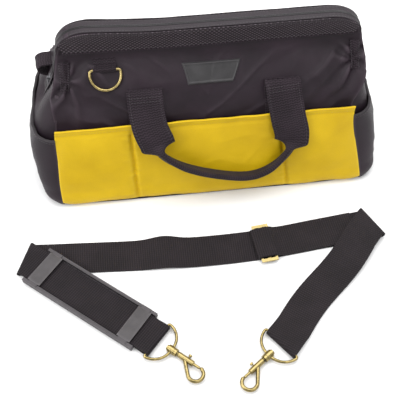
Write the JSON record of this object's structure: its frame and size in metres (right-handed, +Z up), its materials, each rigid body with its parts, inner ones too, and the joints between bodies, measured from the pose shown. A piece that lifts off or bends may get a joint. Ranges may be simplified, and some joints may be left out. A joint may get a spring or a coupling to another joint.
{
  "type": "tool bag",
  "caption": "Gate-mouth fabric tool bag with zip top, outside pockets, carry handles, D rings and a webbing shoulder strap with pad and snap hooks.",
  "frame": {"origin": "on the floor under the middle of the bag's base", "axes": "+Z up, the bag's front faces -Y, +X towards the right end as seen from the front"},
  "size_m": [0.5508, 0.5713, 0.2454],
  "materials": {
    "black_cloth": "coated heavy polyester, satin",
    "yellow_cloth": "coated heavy polyester, satin",
    "black_webbing": "ribbed webbing, matte",
    "strap_webbing": "ribbed webbing, matte",
    "zip_tape": "woven tape",
    "zip_coil": "moulded coil",
    "slider_metal": "black enamel, worn",
    "frame_wire": "bare",
    "board": "fibre board",
    "label_rubber": "moulded",
    "pad_rubber": "moulded, matte",
    "pale_brass": "plated",
    "antique_brass": "antiqued plating",
    "spring_steel": "bare"
  },
  "bodies": {
    "bag_body": {"front_panel": "black_cloth", "back_panel": "black_cloth", "left_end_panel": "black_cloth", "right_end_panel": "black_cloth", "front_pocket": "yellow_cloth", "back_pocket": "yellow_cloth", "left_end_pocket": "black_cloth", "right_end_pocket": "black_cloth", "front_pocket_seams": "yellow_cloth", "back_pocket_seams": "yellow_cloth", "base_panel": "black_cloth", "base_board": "board", "base_binding": "black_cloth", "front_handle_anchors": "black_webbing", "back_handle_anchors": "black_webbing", "left_end_zip_tape": "zip_tape", "right_end_zip_tape": "zip_tape", "end_zip_coils": "zip_coil", "zip_end_stops": "slider_metal", "grab_loop": "black_webbing"},
    "front_mouth": {"front_mouth_panel": "black_cloth", "front_mouth_band": "black_webbing", "front_mouth_wire": "frame_wire", "front_mouth_wire_sleeves": "black_cloth", "front_mouth_gussets": "black_cloth", "front_mouth_zip_tape": "zip_tape", "front_mouth_zip_coil": "zip_coil", "label_patch": "label_rubber", "front_ring_tab": "black_webbing"},
    "back_mouth": {"back_mouth_panel": "black_cloth", "back_mouth_band": "black_webbing", "back_mouth_wire": "frame_wire", "back_mouth_wire_sleeves": "black_cloth", "back_mouth_gussets": "black_cloth", "back_mouth_zip_tape": "zip_tape", "back_mouth_zip_coil": "zip_coil", "back_ring_tab": "black_webbing"},
    "front_ring": {"front_d_ring": "pale_brass"},
    "back_ring": {"back_d_ring": "pale_brass"},
    "slider": {"zip_slider": "slider_metal"},
    "pull": {"zip_pull": "slider_metal"},
    "front_carry_handle": {"front_handle": "black_webbing"},
    "back_carry_handle": {"back_handle": "black_webbing"},
    "shoulder_strap": {"strap_run": "strap_webbing", "strap_left_leg": "strap_webbing", "strap_right_leg": "strap_webbing"},
    "strap_adjuster": {"strap_return_layer": "strap_webbing", "tri_glide": "antique_brass"},
    "pad": {"shoulder_pad": "pad_rubber"},
    "left_loop": {"left_hook_loop": "antique_brass"},
    "right_loop": {"right_hook_loop": "antique_brass"},
    "left_hook": {"left_snap_hook": "antique_brass", "left_spring": "spring_steel"},
    "right_hook": {"right_snap_hook": "antique_brass", "right_spring": "spring_steel"},
    "left_bolt": {"left_plunger": "antique_brass"},
    "right_bolt": {"right_plunger": "antique_brass"}
  },
  "joints": [
    {"name": "front_mouth_fold", "type": "hinge", "parent": "bag_body", "child": "front_mouth", "pos_m": [0, -0.046, 0.164], "axis": [1, 0, 0], "range_deg": [0, 35]},
    {"name": "back_mouth_fold", "type": "hinge", "parent": "bag_body", "child": "back_mouth", "pos_m": [0, 0.046, 0.164], "axis": [-1, 0, 0], "range_deg": [0, 35]},
    {"name": "front_ring_swing", "type": "hinge", "parent": "front_mouth", "child": "front_ring", "pos_m": [-0.148, -0.0276, 0.1873], "axis": [-1, 0, 0], "range_deg": [0, 140]},
    {"name": "back_ring_swing", "type": "hinge", "parent": "back_mouth", "child": "back_ring", "pos_m": [0.148, 0.0276, 0.1873], "axis": [1, 0, 0], "range_deg": [0, 140]},
    {"name": "front_handle_lift", "type": "hinge", "parent": "bag_body", "child": "front_carry_handle", "pos_m": [0, -0.0525, 0.1645], "axis": [-1, 0, 0], "range_deg": [0, 122]},
    {"name": "back_handle_lift", "type": "hinge", "parent": "bag_body", "child": "back_carry_handle", "pos_m": [0, 0.0525, 0.1645], "axis": [1, 0, 0], "range_deg": [0, 122]},
    {"name": "zip_run", "type": "slide", "parent": "bag_body", "child": "slider", "axis": [0.2288, 0, 0.9735], "range_m": [0, 0.085]},
    {"name": "zip_pull_swing", "type": "hinge", "parent": "slider", "child": "pull", "pos_m": [-0.23081, 0, 0.15128], "axis": [0, 1, 0], "range_deg": [0, 150]},
    {"name": "strap_lift", "type": "slide", "parent": "bag_body", "child": "shoulder_strap", "axis": [0, 0, 1], "range_m": [0, 0.3]},
    {"name": "adjuster_slide", "type": "slide", "parent": "shoulder_strap", "child": "strap_adjuster", "axis": [-0.9939, -0.1104, 0], "range_m": [0, 0.035]},
    {"name": "pad_slide", "type": "slide", "parent": "shoulder_strap", "child": "pad", "axis": [0.766, -0.6428, 0], "range_m": [0, 0.01]},
    {"name": "left_loop_fold", "type": "hinge", "parent": "shoulder_strap", "child": "left_loop", "pos_m": [-0.11134, -0.35256, 0.0059], "axis": [-0.6626, -0.749, 0], "range_deg": [0, 120]},
    {"name": "left_hook_swivel", "type": "hinge", "parent": "left_loop", "child": "left_hook", "pos_m": [-0.11134, -0.35256, 0.0059], "axis": [0.749, -0.6626, 0], "continuous": true},
    {"name": "left_bolt_slide", "type": "slide", "parent": "left_hook", "child": "left_bolt", "axis": [-0.749, 0.6626, 0], "range_m": [0, 0.008], "stiffness_N_per_m": 500, "springref_m": -0.006, "deforming": ["left_spring"]},
    {"name": "right_loop_fold", "type": "hinge", "parent": "shoulder_strap", "child": "right_loop", "pos_m": [0.053, -0.37579, 0.0059], "axis": [-0.6018, 0.7986, 0], "range_deg": [0, 120]},
    {"name": "right_hook_swivel", "type": "hinge", "parent": "right_loop", "child": "right_hook", "pos_m": [0.053, -0.37579, 0.0059], "axis": [-0.7986, -0.6018, 0], "continuous": true},
    {"name": "right_bolt_slide", "type": "slide", "parent": "right_hook", "child": "right_bolt", "axis": [0.7986, 0.6018, 0], "range_m": [0, 0.008], "stiffness_N_per_m": 500, "springref_m": -0.006, "deforming": ["right_spring"]}
  ]
}
